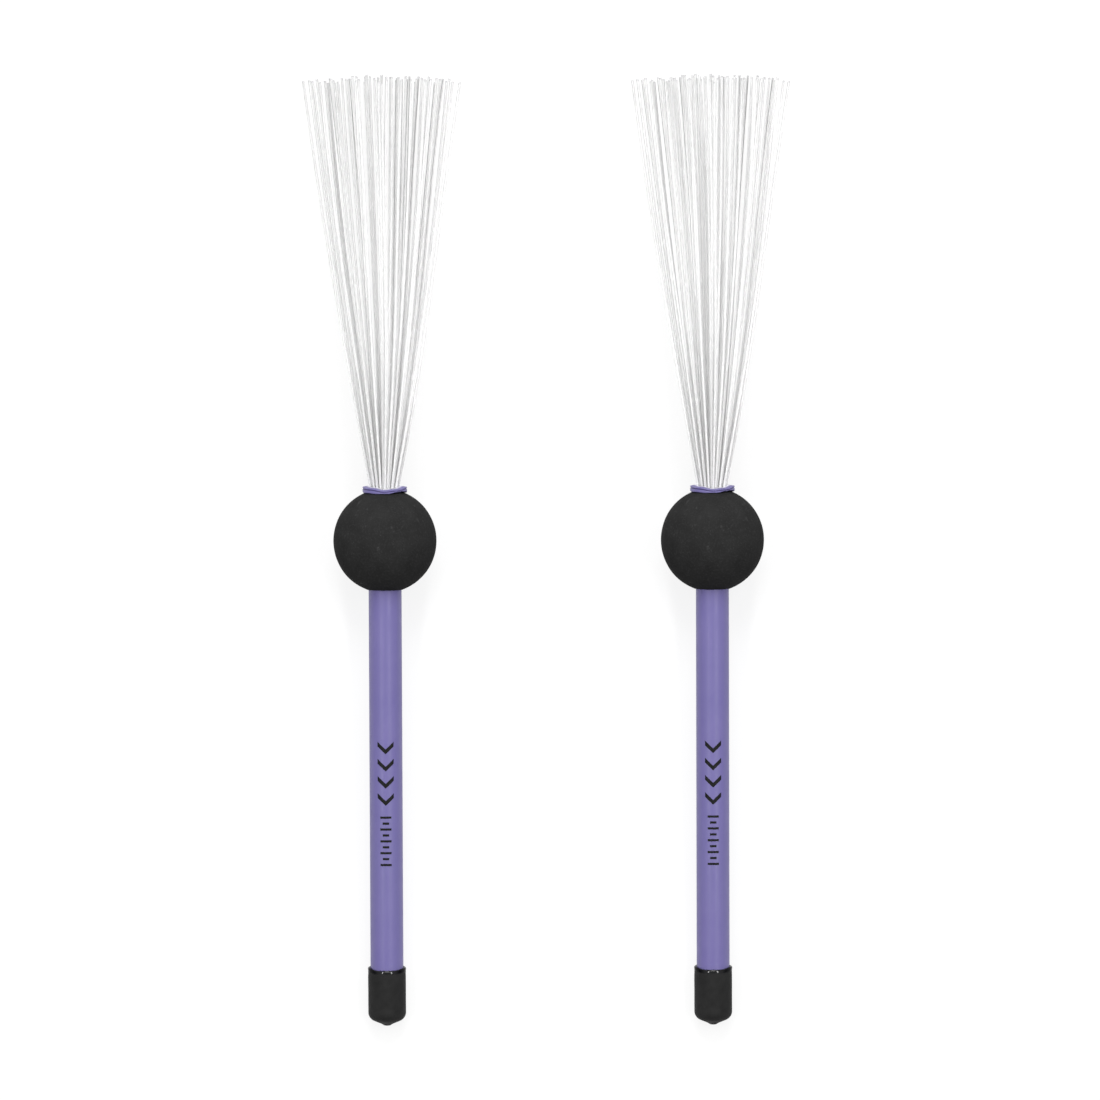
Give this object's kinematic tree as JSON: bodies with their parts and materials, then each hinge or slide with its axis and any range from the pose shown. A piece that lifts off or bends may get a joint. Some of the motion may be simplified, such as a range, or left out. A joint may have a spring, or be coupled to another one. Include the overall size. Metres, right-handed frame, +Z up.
{
  "type": "drum brushes",
  "caption": "Pair of drum brushes with fanned clear nylon filaments, purple plastic tube handles with flared lips, sliding black rubber mallet balls and black vinyl end caps.",
  "frame": {"origin": "centre of the pair, on the surface that both brushes lie on, under the middle of their common box", "axes": "+Z up from the surface, +Y along the brushes from butt cap to filament tips, +X from the left brush to the right brush; the brush axes rise 3.98 degrees towards +Y"},
  "size_m": [0.1632, 0.3196, 0.0542],
  "materials": {
    "purple_plastic": "satin extruded",
    "black_rubber": "fine matte",
    "black_vinyl": "satin dip moulded",
    "sleeve_aluminium": "plain drawn",
    "cast_adhesive": "cast",
    "clear_nylon": "drawn monofilament"
  },
  "bodies": {
    "left_ball": {"left_mallet_ball": "black_rubber"},
    "left_handle": {"left_handle_tube": "purple_plastic", "left_end_cap": "black_vinyl", "left_filament_sleeve": "sleeve_aluminium", "left_root_plug": "cast_adhesive", "left_filament_roots": "clear_nylon"},
    "left_filaments": {"left_filaments_core": "clear_nylon", "left_filaments_inner": "clear_nylon", "left_filaments_middle": "clear_nylon", "left_filaments_outer": "clear_nylon", "left_filaments_rim": "clear_nylon"},
    "right_ball": {"right_mallet_ball": "black_rubber"},
    "right_handle": {"right_handle_tube": "purple_plastic", "right_end_cap": "black_vinyl", "right_filament_sleeve": "sleeve_aluminium", "right_root_plug": "cast_adhesive", "right_filament_roots": "clear_nylon"},
    "right_filaments": {"right_filaments_core": "clear_nylon", "right_filaments_inner": "clear_nylon", "right_filaments_middle": "clear_nylon", "right_filaments_outer": "clear_nylon", "right_filaments_rim": "clear_nylon"}
  },
  "joints": [
    {"name": "left_ball_slide", "type": "slide", "parent": "left_ball", "child": "left_handle", "axis": [0, 0.9976, 0.0694], "range_m": [0, 0.127]},
    {"name": "left_filament_flex", "type": "hinge", "parent": "left_handle", "child": "left_filaments", "pos_m": [-0.05347, 0.02116, 0.01871], "axis": [1, 0, 0], "range_deg": [0, 35], "stiffness_Nm_per_rad": 0.06, "deforming": ["left_filament_roots"]},
    {"name": "right_brush_apart", "type": "slide", "parent": "left_ball", "child": "right_ball", "axis": [1, 0, 0], "range_m": [0, 0.15]},
    {"name": "right_ball_slide", "type": "slide", "parent": "right_ball", "child": "right_handle", "axis": [0, 0.9976, 0.0694], "range_m": [0, 0.127]},
    {"name": "right_filament_flex", "type": "hinge", "parent": "right_handle", "child": "right_filaments", "pos_m": [0.05653, 0.02116, 0.01871], "axis": [1, 0, 0], "range_deg": [0, 35], "stiffness_Nm_per_rad": 0.06, "deforming": ["right_filament_roots"]}
  ]
}
